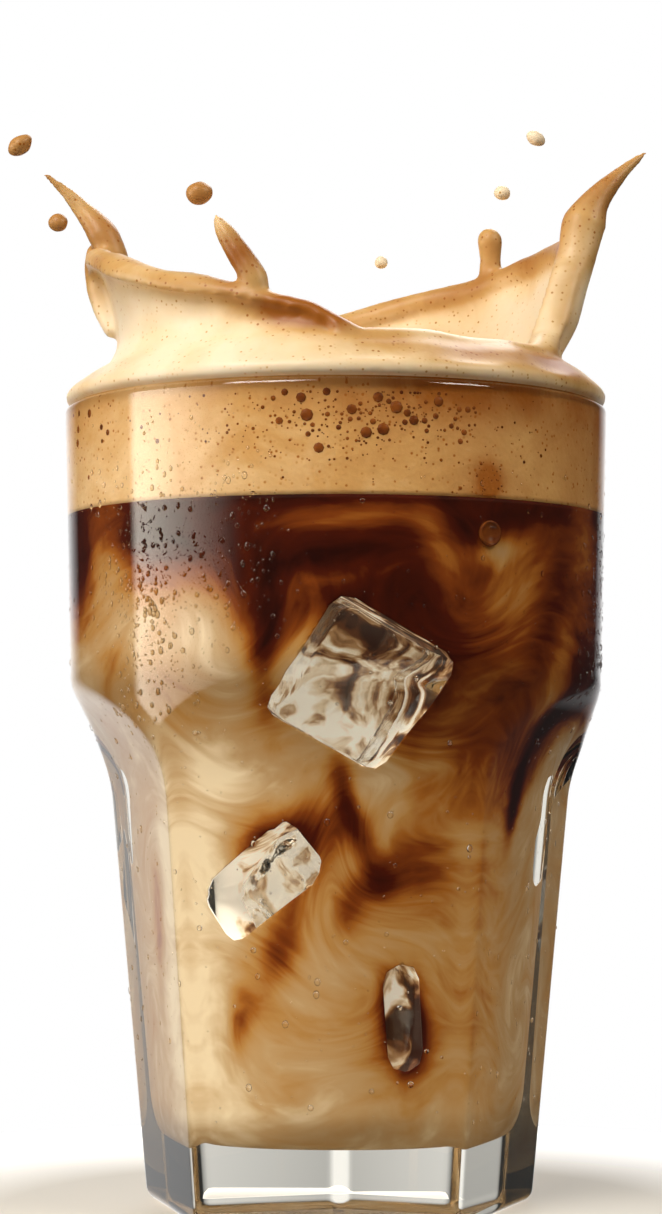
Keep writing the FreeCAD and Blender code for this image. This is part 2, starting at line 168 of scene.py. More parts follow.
class StageSettings(bpy.types.PropertyGroup):
    """Camera and floor, with the floor's fade to white."""

    distance: length("Distance", 492, "Glass's axis to the camera")
    camera_height: length("Camera height", 70.5, "Table to the camera")
    aim_height: length("Aim height", 97.7, "Table to the point the camera looks at")
    aside: length("Aside", -0.8, "Camera's place to the right of the glass's axis")
    lens: FloatProperty(name="Lens", description="Focal length in millimetres", default=89.1)
    floor: length("Floor", 120, "Radius of the floor")
    white_from: length("White from", 55, "Axis to where the floor starts to fade to white")
    white_to: length("White to", 110, "Axis to where the floor is white")


# ---------------------------------------------------------------- materials


def add(tree, kind, inputs=None, stops=(), **settings):
    """Adds a node, sets its settings and colour stops, and sets or links its inputs."""
    made = tree.nodes.new(kind)
    for key, value in settings.items():
        setattr(made, key, value)
    for key, value in (inputs or {}).items():
        if isinstance(value, bpy.types.NodeSocket):
            tree.links.new(value, made.inputs[key])
        else:
            made.inputs[key].default_value = value
    for n, (place, stop) in enumerate(stops):
        elements = made.color_ramp.elements
        element = elements[n] if n < len(elements) else elements.new(place)
        element.position = place
        element.color = linear(stop) if isinstance(stop, str) else stop
    return made


def new_material(name):
    """A node material and its Principled shader."""
    material = bpy.data.materials.new(name)
    material.use_nodes = True
    shader = material.node_tree.nodes["Principled BSDF"]
    return material, material.node_tree, shader


def pressed_glass(settings):
    """Soda-lime glass, pressed and fire-polished: clear, with a gloss that shows each facet."""
    material, _, shader = new_material("soda_lime_glass")
    shader.inputs["Base Color"].default_value = settings.tint
    shader.inputs["Transmission Weight"].default_value = 1
    shader.inputs["Roughness"].default_value = 0.0
    shader.inputs["IOR"].default_value = 1.5
    return material


def water_drop():
    """Water condensed on cold glass: clear beads that bend what lies behind them."""
    material, _, shader = new_material("water")
    shader.inputs["Base Color"].default_value = linear("#ffffff")
    shader.inputs["Transmission Weight"].default_value = 1
    shader.inputs["Roughness"].default_value = 0.0
    shader.inputs["IOR"].default_value = 1.33
    return material


def melting_ice():
    """Freezer ice, wet from melting: clear, with a veil of frozen-in air in patches."""
    material, tree, shader = new_material("wet_ice")
    shader.inputs["Base Color"].default_value = linear("#fdfdfb")
    shader.inputs["Roughness"].default_value = 0.0
    shader.inputs["IOR"].default_value = 1.31
    place = add(tree, "ShaderNodeTexCoord").outputs["Object"]
    # frozen-in air gathers in clouds some 6 mm across
    veil = add(tree, "ShaderNodeTexNoise", {"Vector": place, "Scale": 1 / (6 * MM), "Detail": 5})
    clear = add(
        tree,
        "ShaderNodeMapRange",
        {
            "Value": veil.outputs["Fac"],
            "From Min": 0.55,
            "From Max": 0.8,
            "To Min": 1,
            "To Max": 0.75,
        },
    )
    tree.links.new(clear.outputs["Result"], shader.inputs["Transmission Weight"])
    ripple = add(tree, "ShaderNodeTexNoise", {"Vector": place, "Scale": 1 / (4 * MM), "Detail": 2})
    bump = add(
        tree,
        "ShaderNodeBump",
        {"Height": ripple.outputs["Fac"], "Strength": 0.35, "Distance": 0.6 * MM},
    )
    tree.links.new(bump.outputs["Normal"], shader.inputs["Normal"])
    return material


def marbled_drink(settings):
    """Cold coffee folded into milk: streaks follow the flow that each point was carried along."""
    material, tree, shader = new_material("latte")
    flow = add(tree, "ShaderNodeAttribute", attribute_name="flow").outputs["Vector"]
    # milkiness also carries one painted highlight of a facet's edge
    strength = add(tree, "ShaderNodeAttribute", attribute_name="milkiness_and_painted_highlight").outputs["Fac"]
    # billows about 14 mm across, and streaks about 3 mm thick drawn out along the layers
    billow = add(
        tree,
        "ShaderNodeTexNoise",
        {"Vector": flow, "Scale": 1 / (14 * MM), "Detail": 3, "Roughness": 0.5, "Distortion": 0.7},
    )
    flat = add(tree, "ShaderNodeMapping", {"Vector": flow, "Scale": (1, 1, 2.2)})
    streak = add(
        tree,
        "ShaderNodeTexNoise",
        {
            "Vector": flat.outputs["Vector"],
            "Scale": 1 / (7 * MM),
            "Detail": 5,
            "Roughness": 0.5,
            "Distortion": 0.6,
        },
    )
    total = strength
    for source, amount in ((billow, 0.55), (streak, 0.36)):
        centred = add(
            tree,
            "ShaderNodeMath",
            {0: source.outputs["Fac"], 1: 0.5},
            operation="SUBTRACT",
        ).outputs[0]
        total = add(
            tree, "ShaderNodeMath", {0: centred, 1: amount, 2: total}, operation="MULTIPLY_ADD"
        ).outputs[0]
    tint = add(
        tree,
        "ShaderNodeValToRGB",
        {"Fac": total},
        stops=[
            (0.0, settings.coffee),
            (0.20, "#461302"),
            (0.36, "#7b3b0e"),
            (0.48, settings.crema),
            (0.60, "#b4874c"),
            (0.76, settings.milk),
            (1.0, settings.cream),
        ],
    )
    tree.links.new(tint.outputs["Color"], shader.inputs["Base Color"])
    shader.inputs["Roughness"].default_value = 0.5
    shader.inputs["Specular IOR Level"].default_value = 0.1
    shader.inputs["IOR"].default_value = 1.34
    return material


def melt_water_and_painted_glow():
    """Drink thinned by melting ice, round the cubes: tan and cream in patches, darker by coffee,
    with a weak painted glow; the near-white patches are partly painted highlight seen in the ice.
    """
    material, tree, shader = new_material("melt_thinned_latte_painted_glow")
    place = add(tree, "ShaderNodeTexCoord").outputs["Object"]
    strength = add(tree, "ShaderNodeAttribute", attribute_name="milkiness_and_painted_highlight").outputs["Fac"]
    # patches about 7 mm across
    patches = add(
        tree,
        "ShaderNodeTexNoise",
        {"Vector": place, "Scale": 1 / (7 * MM), "Detail": 3, "Distortion": 1},
    )
    total = add(
        tree,
        "ShaderNodeMath",
        {0: patches.outputs["Fac"], 1: 4.0, 2: -2.0},
        operation="MULTIPLY_ADD",
    ).outputs[0]
    total = add(tree, "ShaderNodeMath", {0: strength, 1: 1.0, 2: total}, operation="MULTIPLY_ADD")
    # the near-white end stands partly for the ice's highlights: painted highlight
    tint = add(
        tree,
        "ShaderNodeValToRGB",
        {"Fac": total.outputs[0]},
        stops=[
            (0.0, "#2e1104"),
            (0.25, "#63371a"),
            (0.45, "#ab8257"),
            (0.62, "#e2cdae"),
            (0.85, "#fdf8ef"),
        ],
    )
    tree.links.new(tint.outputs["Color"], shader.inputs["Base Color"])
    # stands in for light scattered through the milk around it
    tree.links.new(tint.outputs["Color"], shader.inputs["Emission Color"])
    shader.inputs["Emission Strength"].default_value = 0.4
    shader.inputs["Roughness"].default_value = 0.35
    return material


def milk_foam(settings, name, wet, soft):
    """Steamed-milk foam mixed with coffee: a fine froth, glossier where the splash is wet."""
    material, tree, shader = new_material(name)
    place = add(tree, "ShaderNodeTexCoord").outputs["Object"]
    # the stain attribute is mostly coffee stain, with a painted highlight on the head and painted
    # shade on the splash
    stain_and_painted_light = add(tree, "ShaderNodeAttribute", attribute_name="stain_and_painted_light").outputs["Fac"]
    # clouds of stain 12 mm across, and froth cells 0.8 mm across
    cloud = add(
        tree,
        "ShaderNodeTexNoise",
        {"Vector": place, "Scale": 1 / (12 * MM), "Detail": 4, "Roughness": 0.6, "Distortion": 0.5},
    )
    froth = add(tree, "ShaderNodeTexVoronoi", {"Vector": place, "Scale": 1 / (0.8 * MM)})
    # a froth cell here and there is an open bubble, drawn as coarse as it needs to show
    cell = add(tree, "ShaderNodeSeparateColor", {0: froth.outputs["Color"]}).outputs[0]
    open_cell = add(
        tree,
        "ShaderNodeMapRange",
        {"Value": cell, "From Min": 0.55, "From Max": 1.0, "To Max": 0.5},
    )
    speck = add(
        tree,
        "ShaderNodeMapRange",
        {
            "Value": froth.outputs["Distance"],
            "From Min": 0.14,
            "From Max": 0.34,
            "To Min": open_cell.outputs["Result"],
            "To Max": 0,
        },
    )
    spread = add(
        tree,
        "ShaderNodeMath",
        {0: cloud.outputs["Fac"], 1: 0.55, 2: stain_and_painted_light},
        operation="MULTIPLY_ADD",
    ).outputs[0]
    total = add(
        tree, "ShaderNodeMath", {0: spread, 1: speck.outputs["Result"]}, operation="ADD"
    ).outputs[0]
    tint = add(
        tree,
        "ShaderNodeValToRGB",
        {"Fac": total},
        stops=[
            (0.1, settings.pale),
            (0.36, "#e9cca0"),
            (0.62, settings.tan),
            (1.0, settings.amber),
        ],
    )
    tree.links.new(tint.outputs["Color"], shader.inputs["Base Color"])
    shader.inputs["Roughness"].default_value = 0.4 if wet else 0.5
    shader.inputs["Specular IOR Level"].default_value = 0.3 if wet else 0.15
    shader.inputs["Subsurface Weight"].default_value = soft
    shader.inputs["Subsurface Radius"].default_value = (1.0, 0.45, 0.15)
    shader.inputs["Subsurface Scale"].default_value = 1 * MM
    grain = add(tree, "ShaderNodeTexNoise", {"Vector": place, "Scale": 1 / (2.2 * MM), "Detail": 3})
    height = add(
        tree,
        "ShaderNodeMath",
        {0: froth.outputs["Distance"], 1: 0.25 if wet else 0.5, 2: grain.outputs["Fac"]},
        operation="MULTIPLY_ADD",
    ).outputs[0]
    bump = add(
        tree,
        "ShaderNodeBump",
        {"Height": height, "Strength": 0.15 if wet else 0.35, "Distance": 0.25 * MM},
    )
    tree.links.new(bump.outputs["Normal"], shader.inputs["Normal"])
    return material


def bubble_film(settings, name="coffee_bubble"):
    """Open bubbles against the glass: dark with coffee inside, with a wet shine."""
    material, tree, shader = new_material(name)
    place = add(tree, "ShaderNodeTexCoord").outputs["Object"]
    shade = add(tree, "ShaderNodeTexNoise", {"Vector": place, "Scale": 1 / (3 * MM), "Detail": 2})
    tint = add(
        tree,
        "ShaderNodeValToRGB",
        {"Fac": shade.outputs["Fac"]},
        stops=[(0.35, settings.bubble), (0.65, "#8a4c1a")],
    )
    tree.links.new(tint.outputs["Color"], shader.inputs["Base Color"])
    shader.inputs["Roughness"].default_value = 0.15
    return material


# ---------------------------------------------------------------- shapes


def finish_piece(bm, name, materials, smooth=True):
    """Turns a bmesh into an object of the scene, with its faces outward."""
    bmesh.ops.recalc_face_normals(bm, faces=bm.faces)
    for face in bm.faces:
        face.smooth = smooth
    mesh = bpy.data.meshes.new(name)
    bm.to_mesh(mesh)
    bm.free()
    piece = bpy.data.objects.new(name, mesh)
    bpy.context.scene.collection.objects.link(piece)
    for material in materials:
        mesh.materials.append(material)
    return piece


def apply_modifiers(piece):
    """Makes a piece's modifiers part of its mesh."""
    graph = bpy.context.evaluated_depsgraph_get()
    made = bpy.data.meshes.new_from_object(piece.evaluated_get(graph))
    made.name = piece.name
    piece.modifiers.clear()
    piece.data = made


def mesh_points(piece):
    """Places of a piece's vertices, as rows of an array."""
    points = np.zeros(len(piece.data.vertices) * 3)
    piece.data.vertices.foreach_get("co", points)
    return points.reshape(-1, 3)


def scatter(shapes, make, batch=40):
    """Makes many small shapes with make(bm, shape), in batches that keep the work short."""
    gathered = bmesh.new()
    for start in range(0, len(shapes), batch):
        bm = bmesh.new()
        for shape in shapes[start : start + batch]:
            make(bm, shape)
        part = bpy.data.meshes.new("batch")
        bm.to_mesh(part)
        bm.free()
        gathered.from_mesh(part)
        bpy.data.meshes.remove(part)
    return gathered


def lathe(bm, outline, steps):
    """Spins an outline of (radius, height) points, from axis to axis, into a closed shape."""
    verts = [bm.verts.new((r, 0, z)) for r, z in outline]
    edges = [bm.edges.new(pair) for pair in zip(verts, verts[1:])]
    bmesh.ops.spin(
        bm,
        geom=verts + edges,
        cent=(0, 0, 0),
        axis=(0, 0, 1),
        dvec=(0, 0, 0),
        angle=2 * math.pi,
        steps=steps,
        use_merge=True,
    )
    bmesh.ops.remove_doubles(bm, verts=bm.verts, dist=1e-6)


def arc_points(centre, radius, start, end, count):
    """Points along an arc, both ends included, angles in radians."""
    angles = [start + (end - start) * n / (count - 1) for n in range(count)]
    return [(centre[0] + radius * math.cos(a), centre[1] + radius * math.sin(a)) for a in angles]


def even_points(points, step):
    """Points at about even steps along a line through the given ones, which are kept."""
    out = [points[0]]
    for (r0, z0), (r1, z1) in zip(points, points[1:]):
        count = max(1, round(math.hypot(r1 - r0, z1 - z0) / step))
        for n in range(1, count + 1):
            out.append((r0 + (r1 - r0) * n / count, z0 + (z1 - z0) * n / count))
    return out


def facet_slope(tumbler):
    """The angle by which a facet leans outward."""
    return math.atan2(tumbler.facet_spread, tumbler.facet_height)


def cavity_outline(tumbler, grow=0.0):
    """(radius, height) points up the cavity's side, from the edge of its floor to the rim."""
    slope, bend = facet_slope(tumbler), tumbler.facet_height
    taper = math.atan2(tumbler.band_taper, RIM - bend)
    low = tumbler.facet_foot + tumbler.facet_spread - tumbler.facet_wall + grow
    high = RIM_RADIUS - tumbler.wall + grow
    flare, shoulder = tumbler.flare_radius + tumbler.facet_wall, tumbler.shoulder_round
    centre = (low + flare * math.cos(slope), bend - flare * math.sin(slope))
    band = high - math.tan(taper) * (RIM - bend - flare)
    turn = math.acos(min(1.0, (centre[0] + shoulder - band) / (flare + shoulder)))
    meet = (centre[0] - flare * math.cos(turn), centre[1] + flare * math.sin(turn))
    inner = (meet[0] - shoulder * math.cos(turn), meet[1] + shoulder * math.sin(turn))
    corner, floor = tumbler.corner_round, FLOOR - grow
    corner_x = low - math.tan(slope) * (bend - floor) - corner
    points = arc_points((corner_x, floor + corner), corner, -math.pi / 2, -slope, 9)
    points += arc_points(centre, flare, math.pi - slope, math.pi - turn, 14)
    points += arc_points(inner, shoulder, -turn, -taper, 8)
    return points + [(high, RIM)]


def facet_distance(tumbler, up):
    """Axis to a facet's middle at each height; far out where its flare ends."""
    slope, bend = facet_slope(tumbler), tumbler.facet_height
    head, radius = tumbler.facet_foot + tumbler.facet_spread, tumbler.flare_radius
    centre = (head + radius * math.cos(slope), bend - radius * math.sin(slope))
    rise = np.clip((up - centre[1]) / radius, 0.0, 1.0)
    flare = centre[0] - radius * np.sqrt(1 - rise**2)
    return np.where(up <= bend, tumbler.facet_foot + tumbler.facet_spread * up / bend, flare)


def blend_least(first, second, width):
    """The lesser of two lengths, with the crease between them rounded."""
    overlap = np.maximum(width - np.abs(first - second), 0.0) / width
    return np.minimum(first, second) - overlap**2 * width / 4


def tumbler_radius(tumbler, turn, up):
    """Outside of the glass at turns from the front (radians, to the right) and heights."""
    rise = np.maximum((up - tumbler.facet_height) / (RIM - tumbler.facet_height), 0.0)
    reach = RIM_RADIUS - tumbler.band_taper * (1 - rise)
    middle = facet_distance(tumbler, up)
    for n in range(tumbler.facets):
        lean = np.cos(turn - tumbler.facet_turn - 2 * math.pi * n / tumbler.facets)
        reach = blend_least(reach, middle / np.maximum(lean, 0.2), tumbler.edge_blend)
    sink = np.maximum(tumbler.foot_round - up, 0.0)
    return reach - tumbler.foot_round + np.sqrt(tumbler.foot_round**2 - sink**2)


def turn_of(point):
    """Turn of a point from the front, to the right, in radians."""
    return math.atan2(point.x, -point.y)


def around(turn, out, up):
    """The point at a turn from the front (radians, to the right), a radius and a height."""
    return Vector((out * math.sin(turn), -out * math.cos(turn), up))


def wall_radius(tumbler, heights, grow=0.0):
    """The cavity's radius at one height or more."""
    points = cavity_outline(tumbler, grow)
    return np.interp(heights, [z for r, z in points], [r for r, z in points])


# ---------------------------------------------------------------- the glass


class LATTE_OT_tumbler(bpy.types.Operator):
    """Make the pressed tumbler"""

    bl_idname = "latte.tumbler"
    bl_label = "Tumbler"

    def execute(self, context):
        tumbler = context.scene.latte_tumbler
        lip, blank = tumbler.lip_round, RIM_RADIUS
        outer = []
        # finer at the rounded foot and where the facets flare into the band
        for low, high, step in ((0, 2.4, 0.3), (3, 62, 2), (63, 93, 0.75)):
            outer += even_points([(blank, low * MM), (blank, high * MM)], step * MM)
        outer += even_points([(blank, 95 * MM), (blank, RIM - lip)], 3 * MM)
        outer += arc_points((RIM_RADIUS - lip, RIM - lip), lip, 0, math.pi / 2, 6)
        inner_lip = RIM_RADIUS - tumbler.wall + lip
        side = cavity_outline(tumbler)
        upper = arc_points((inner_lip, RIM - lip), lip, math.pi / 2, math.pi, 6)
        down = even_points(list(reversed(side))[1:], 1.5 * MM)
        outline = [(0, 0), (blank * 0.5, 0)] + outer + upper + down + [(0, FLOOR)]
        bm = bmesh.new()
        lathe(bm, outline, 360)
        piece = finish_piece(bm, "tumbler", [pressed_glass(tumbler)])
        points = mesh_points(piece)
        reach = np.maximum(np.hypot(points[:, 0], points[:, 1]), 1e-9)
        turn = np.arctan2(points[:, 0], -points[:, 1])
        limit = tumbler_radius(tumbler, turn, np.maximum(points[:, 2], 0.0))
        points[:, :2] *= np.minimum(limit / reach, 1.0)[:, None]
        piece.data.vertices.foreach_set("co", points.ravel())
        piece.visible_shadow = False
        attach(piece, BODY)
        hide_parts("glass")
        return {"FINISHED"}


# ---------------------------------------------------------------- the drink and its ice

# Ice cubes: turn from the front and height of the middle, inset of the middle from the wall,
# size of the three edges as shares of a whole cube, and turns about Y, X and Z, in degrees.
CUBES = [
    (5, 84.6, 11.5, (1.11, 0.94, 1.06), (29, 12, 14)),
    (-24, 54, 8.4, (0.96, 0.6, 0.52), (-34, 16, -16)),
    (23, 33, 6.0, (0.28, 0.6, 0.85), (-10, 10, 24)),
    (102, 62, 8.0, (0.5, 0.8, 0.9), (10, -15, 40)),
    (140, 80, 10.0, (1.0, 0.8, 0.9), (24, 10, 10)),
    (205, 54, 9.0, (0.8, 0.9, 0.8), (-30, 20, 0)),
    (-120, 66, 10.0, (0.8, 0.9, 0.9), (15, 10, 40)),
]


def cube_place(tumbler, cube):
    """A cube's placement in the drink: its middle and its turns."""
    turn, up, inset, edges, tilt = cube
    facing = math.radians(turn)
    out = wall_radius(tumbler, up * MM) - inset * MM
    turned = Matrix.Rotation(facing + math.radians(tilt[2]), 4, "Z")
    turned = turned @ Matrix.Rotation(math.radians(tilt[1]), 4, "X")
    turned = turned @ Matrix.Rotation(math.radians(tilt[0]), 4, "Y")
    return Matrix.Translation(around(facing, out, up * MM)) @ turned


def add_cube(bm, tumbler, ice, cube, grow, segments):
    """Adds one cube with its edges rounded by melting, grown on each side."""
    size = [share * ice.edge + 2 * grow for share in cube[3]]
    scaled = Matrix.Diagonal((*size, 1.0))
    made = bmesh.ops.create_cube(bm, size=1, matrix=cube_place(tumbler, cube) @ scaled)
    faces = list({face for vert in made["verts"] for face in vert.link_faces})
    edges = list({edge for face in faces for edge in face.edges})
    bmesh.ops.bevel(
        bm,
        geom=edges,
        offset=ice.melt_round + grow,
        offset_type="OFFSET",
        affect="EDGES",
        segments=segments,
        profile=0.5,
        material=-1,
        clamp_overlap=True,
    )


class LATTE_OT_ice(bpy.types.Operator):
    """Make the ice cubes that show through the glass"""

    bl_idname = "latte.ice"
    bl_label = "Ice"

    def execute(self, context):
        tumbler, ice = context.scene.latte_tumbler, context.scene.latte_ice
        bm = bmesh.new()
        for cube in CUBES:
            add_cube(bm, tumbler, ice, cube, 0.0, 4)
        bmesh.ops.subdivide_edges(
            bm, edges=[e for e in bm.edges if e.calc_length() > 4 * MM], cuts=5, use_grid_fill=True
        )
        # melted unevenly, and kept just inside the wall
        for vert in bm.verts:
            vert.co += noise.noise_vector(vert.co / (7 * MM)) * 0.35 * MM
            reach = math.hypot(vert.co.x, vert.co.y)
            limit = wall_radius(tumbler, vert.co.z) - 0.25 * MM
            if reach > limit:
                vert.co.x *= limit / reach
                vert.co.y *= limit / reach
        piece = finish_piece(bm, "ice_cubes", [melting_ice()])
        piece.visible_shadow = False
        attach(piece, BODY)
        return {"FINISHED"}


# Swirls at the front: turn from the front and height of the middle, reach in millimetres, and
# by how far the middle is turned, in degrees.
FRONT_SWIRLS = [
    (-34, 90, 11, 85),
    (-14, 99, 10, -70),
    (22, 98, 10, 110),
    (34, 84, 13, -80),
    (24, 68, 10, 70),
    (-20, 72, 12, -60),
    (8, 58, 9, 100),
    (-34, 60, 12, 60),
    (12, 42, 10, -80),
    (-18, 36, 11, 70),
    (34, 46, 11, 60),
    (-4, 24, 9, -50),
]
# Height of the level at which coffee gives way to milk, by turn from the front.
LAYER_LEVELS = [
    (-180, 84),
    (-130, 90),
    (-90, 96),
    (-50, 97),
    (-24, 96),
    (-8, 90),
    (8, 80),
    (22, 71),
    (50, 66),
    (80, 72),
    (120, 86),
    (150, 78),
    (180, 84),
]
# Patches at the front: turn, height, half width and half height in millimetres, lean in
# degrees, and how much milkier than the layers around it the patch is; one is a painted highlight.
FRONT_PATCHES = [
    (-15, 90, 2.4, 9, -8, -0.42),
    (-28, 93, 6, 5, 0, 0.22),
    (-44, 106, 6, 5, 0, -0.14),
    (22, 104, 3.0, 7, 24, 0.36),
    (2, 109, 12, 2.2, 3, 0.34),
    (0, 100, 12, 2.4, 12, 0.20),
    (44, 91, 6, 9, 0, 0.22),
    (-24, 86, 5, 6, 0, 0.12),
    (38, 99, 8, 5, 25, 0.46),
    (35, 104.5, 5, 2.6, 10, 0.55),
    (18, 28, 9, 10, 0, -0.10),
    (56, 87, 4, 8, -15, 0.44),
    (46, 106, 6, 4, 0, 0.16),
    (33, 84, 8, 6, 30, 0.26),
    (44, 74, 9, 8, 0, 0.20),
    (28, 76, 5, 6, 0, 0.18),
    (66, 102, 7, 12, 0, 0.30),
    (-58, 104, 7, 10, 0, 0.42),
    (-24, 106, 6, 6, 0, 0.18),
    (-40, 82, 7, 4, 20, -0.16),
    (-58, 88, 5, 6, 20, -0.20),
    (-18, 82, 4, 4, 0, -0.16),
    (3, 84, 7, 7, 0, 0.14),
    (2, 69, 1.9, 6, 10, -0.42),
    (7, 61, 2.2, 6, 20, -0.36),
    (14, 54, 3.2, 3, 40, -0.38),
    (4, 50, 5, 2.6, 70, -0.28),
    (-16, 44, 8, 3.0, 70, -0.34),
    (-64, 46, 3.0, 10, -8, -0.38),
    # a painted highlight: the cream streak of a facet's edge on the left, not milk
    (-50, 44, 3.0, 12, 0, 0.10),
    (43, 27, 6, 9, 0, -0.14),
    (-34, 33, 2.6, 10, -14, -0.38),
    (-22, 42, 2.4, 8, -20, -0.14),
    (-44, 58, 7, 13, 0, 0.26),
    (-44, 26, 8, 12, 0, 0.24),
    (38, 52, 9, 14, 0, -0.12),
    (22, 28, 8, 5, 60, -0.24),
    (23, 33, 3.0, 6, 12, -1.2),
    (-18, 58, 6, 5, 20, -1.0),
    (60, 66, 2.6, 7, -15, -0.6),
    (-3, 63, 5, 4.5, 0, -0.34),
    (-14, 75, 9, 6, 0, -0.04),
    (-38, 72, 6, 5, 0, 0.18),
    (24, 57, 7, 5, 20, -0.42),
]


def stirred(points, swirls):
    """Carries points back through a list of swirls, so that level layers look stirred there."""
    flow = points.copy()
    for turn, up, out, reach, angle in swirls:
        axis = np.array((math.sin(turn), -math.cos(turn), 0.0))
        offset = flow - np.array(around(turn, out, up))
        weight = angle * np.exp(-(offset**2).sum(1) / reach**2)
        cosine, sine = np.cos(weight)[:, None], np.sin(weight)[:, None]
        along = (offset @ axis)[:, None] * axis
        across = offset - along
        flow += along + across * cosine + np.cross(axis, across) * sine - offset
    return flow


def milkiness_and_painted_highlight(tumbler, points, flow):
    """How milky the drink is at each point: 0 for coffee, 1 for milk; one cream streak at the front
    is a painted highlight.
    """
    turn = np.degrees(np.arctan2(points[:, 0], -points[:, 1]))
    level = np.interp(turn, [t for t, z in LAYER_LEVELS], [z * MM for t, z in LAYER_LEVELS])
    carried = 0.55 * points[:, 2] + 0.45 * flow[:, 2]
    total = np.clip(0.5 + (level - carried) / (22 * MM), 0.06, 0.74)
    for middle, up, wide, high, lean, amount in FRONT_PATCHES:
        reach = float(wall_radius(tumbler, up * MM))
        across = np.radians(turn - middle) * reach / MM
        along = points[:, 2] / MM - up
        cosine, sine = math.cos(math.radians(lean)), math.sin(math.radians(lean))
        side, rise = across * cosine + along * sine, along * cosine - across * sine
        total += amount * np.exp(-((side / wide) ** 2) - (rise / high) ** 2)
    return total


class LATTE_OT_drink(bpy.types.Operator):
    """Make the coffee and milk as one marbled body with room for the ice"""

    bl_idname = "latte.drink"
    bl_label = "Drink"

    def execute(self, context):
        tumbler, ice = context.scene.latte_tumbler, context.scene.latte_ice
        drink = context.scene.latte_drink
        side = cavity_outline(tumbler, drink.reach)
        top = float(wall_radius(tumbler, FOAM_LINE, drink.reach))
        side = [point for point in side if point[1] < FOAM_LINE] + [(top, FOAM_LINE)]
        floor = even_points([(0, FLOOR - drink.reach), side[0]], 1.5 * MM)
        outline = floor[:-1] + even_points(side, 0.62 * MM) + [(0, FOAM_LINE)]
        bm = bmesh.new()
        lathe(bm, outline, 340)
        body = finish_piece(bm, "latte", [marbled_drink(drink), melt_water_and_painted_glow()])
        bm = bmesh.new()
        for cube in CUBES:
            add_pocket(bm, tumbler, ice, cube)
        pockets = finish_piece(bm, "pockets", [melt_water_and_painted_glow()])
        cut = body.modifiers.new("pockets", "BOOLEAN")
        cut.object = pockets
        cut.operation = "DIFFERENCE"
        cut.solver = "EXACT"
        cut.material_mode = "TRANSFER"
        apply_modifiers(body)
        bpy.data.objects.remove(pockets)
        points = mesh_points(body)
        flow = stirred(points, self.swirls(tumbler, drink))
        carried = body.data.attributes.new("flow", "FLOAT_VECTOR", "POINT")
        carried.data.foreach_set("vector", flow.ravel())
        mixed = body.data.attributes.new("milkiness_and_painted_highlight", "FLOAT", "POINT")
        mixed.data.foreach_set("value", milkiness_and_painted_highlight(tumbler, points, flow))
        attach(body, BODY)
        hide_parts("milk", "coffee")
        return {"FINISHED"}

    def swirls(self, tumbler, drink):
        """The front's swirls and then chance ones: (turn, height, radius, reach, angle)."""
        made = []
        for turn, up, reach, angle in FRONT_SWIRLS:
            out = float(wall_radius(tumbler, up * MM))
            made.append((math.radians(turn), up * MM, out, reach * MM, math.radians(angle)))
        chance = random.Random(7)
        for n in range(drink.swirls):
            turn = chance.uniform(math.radians(50), math.radians(310))
            up = chance.uniform(20 * MM, FOAM_LINE - 6 * MM)
            reach = chance.uniform(6 * MM, 15 * MM)
            angle = math.radians(chance.choice((-1, 1)) * chance.uniform(50, 110))
            made.append((turn, up, float(wall_radius(tumbler, up)), reach, angle))
        return made


def add_pocket(bm, tumbler, ice, cube):
    """Adds the room that one cube takes in the drink, drawn out through the wall."""
    before = set(bm.verts)
    add_cube(bm, tumbler, ice, cube, ice.clearance, 2)
    outward = around(math.radians(cube[0]), 1.0, 0.0)
    made = [vert for vert in bm.verts if vert not in before]
    middle = sum((vert.co for vert in made), Vector()) / len(made)
    for vert in made:
        if (vert.co - middle).dot(outward) > 0:
            vert.co += outward * 12 * MM


# ---------------------------------------------------------------- the foam and its splash

# Rim's outside to the outer face of the splash's sheet, at its foot.
CROWN_INSET = 8.4 * MM
# Top of the splash: (turn from the front in degrees, height above the rim in millimetres).
SPLASH_TOPS = [
    (-180, 21.5),
    (-150, 20),
    (-110, 27),
    (-85, 27),
    (-68, 24),
    (-45, 18.5),
    (-20, 15),
    (-5, 12.5),
    (6, 8.6),
    (20, 7.2),
    (60, 7.4),
    (74, 12),
    (82, 24),
    (92, 29),
    (125, 30),
    (150, 26),
    (180, 21.5),
]


def splash_top(turn):
    """Height of the splash's top above the rim at a turn from the front, in radians."""
    turns = [math.radians(t) for t, z in SPLASH_TOPS]
    place = (turn + math.pi) % (2 * math.pi) - math.pi
    level = np.interp(place, turns, [z for t, z in SPLASH_TOPS])
    wobble = noise.noise(around(turn, 2.2, 3.0)) * 1.2
    return float(level + wobble) * MM


def splash_section(foam, turn):
    """Closed (radius, height) outline of the splash's ring at one turn."""
    half, bead = foam.sheet / 2, foam.bead / 2
    bead *= 1.0 + 0.25 * noise.noise(around(turn, 3.0, 1.0))
    bead *= 1.0 - 0.4 * math.exp(-(((turn - 6.1) / 0.3) ** 2))
    top = max(splash_top(turn) - bead, 5.6 * MM)
    foot = min(10 * MM, top - 0.5 * MM)
    lean = 0.26 * max(top - foot, 0)
    spine = RIM_RADIUS - CROWN_INSET - half + noise.noise(around(turn, 1.6, 7.0)) * 0.8 * MM
    points = []
    for part in range(9):
        rise = part / 8
        points.append((spine + lean * rise**1.5 + half, RIM + foot + (top - foot) * rise))
    over = arc_points((spine + lean, RIM + top), bead, -0.2, math.pi + 0.2, 7)
    inner = [(r - 2 * half, z) for r, z in reversed(points)]
    outer_root = (RIM_RADIUS - 3.4 * MM, RIM + 1.0 * MM)
    inner_root = (spine - 12 * MM, RIM + 1.0 * MM)
    curve_out = ((outer_root[0] + points[0][0]) / 2, (outer_root[1] + points[0][1]) / 2 - 0.8 * MM)
    curve_in = ((inner_root[0] + inner[-1][0]) / 2, (inner_root[1] + inner[-1][1]) / 2 - 0.8 * MM)
    return [outer_root, curve_out] + points[:-1] + over + inner[1:] + [curve_in, inner_root]


